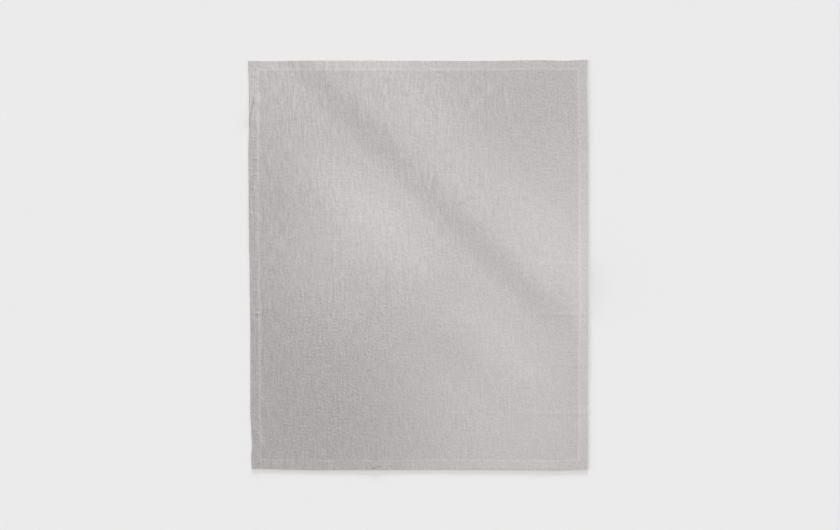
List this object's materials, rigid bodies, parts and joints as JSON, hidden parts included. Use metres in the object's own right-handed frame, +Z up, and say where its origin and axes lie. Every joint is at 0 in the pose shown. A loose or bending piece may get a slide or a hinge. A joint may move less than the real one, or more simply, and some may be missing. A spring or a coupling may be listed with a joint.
{
  "type": "tablecloth",
  "caption": "Plain woven linen tablecloth spread out flat, with a mitred hem all round, soft folds and faint storage creases; covers a dining table.",
  "frame": {"origin": "on the surface that the cloth lies on, under the middle of the cloth", "axes": "+X across the cloth, to the right in the picture; +Y along the cloth, to the picture's upper end; +Z up, out of the cloth's face"},
  "size_m": [1.456, 1.7569, 0.0117],
  "materials": {
    "linen": "plain woven linen, matt, light warm grey"
  },
  "bodies": {
    "root": {"cloth": "linen"}
  },
  "joints": []
}
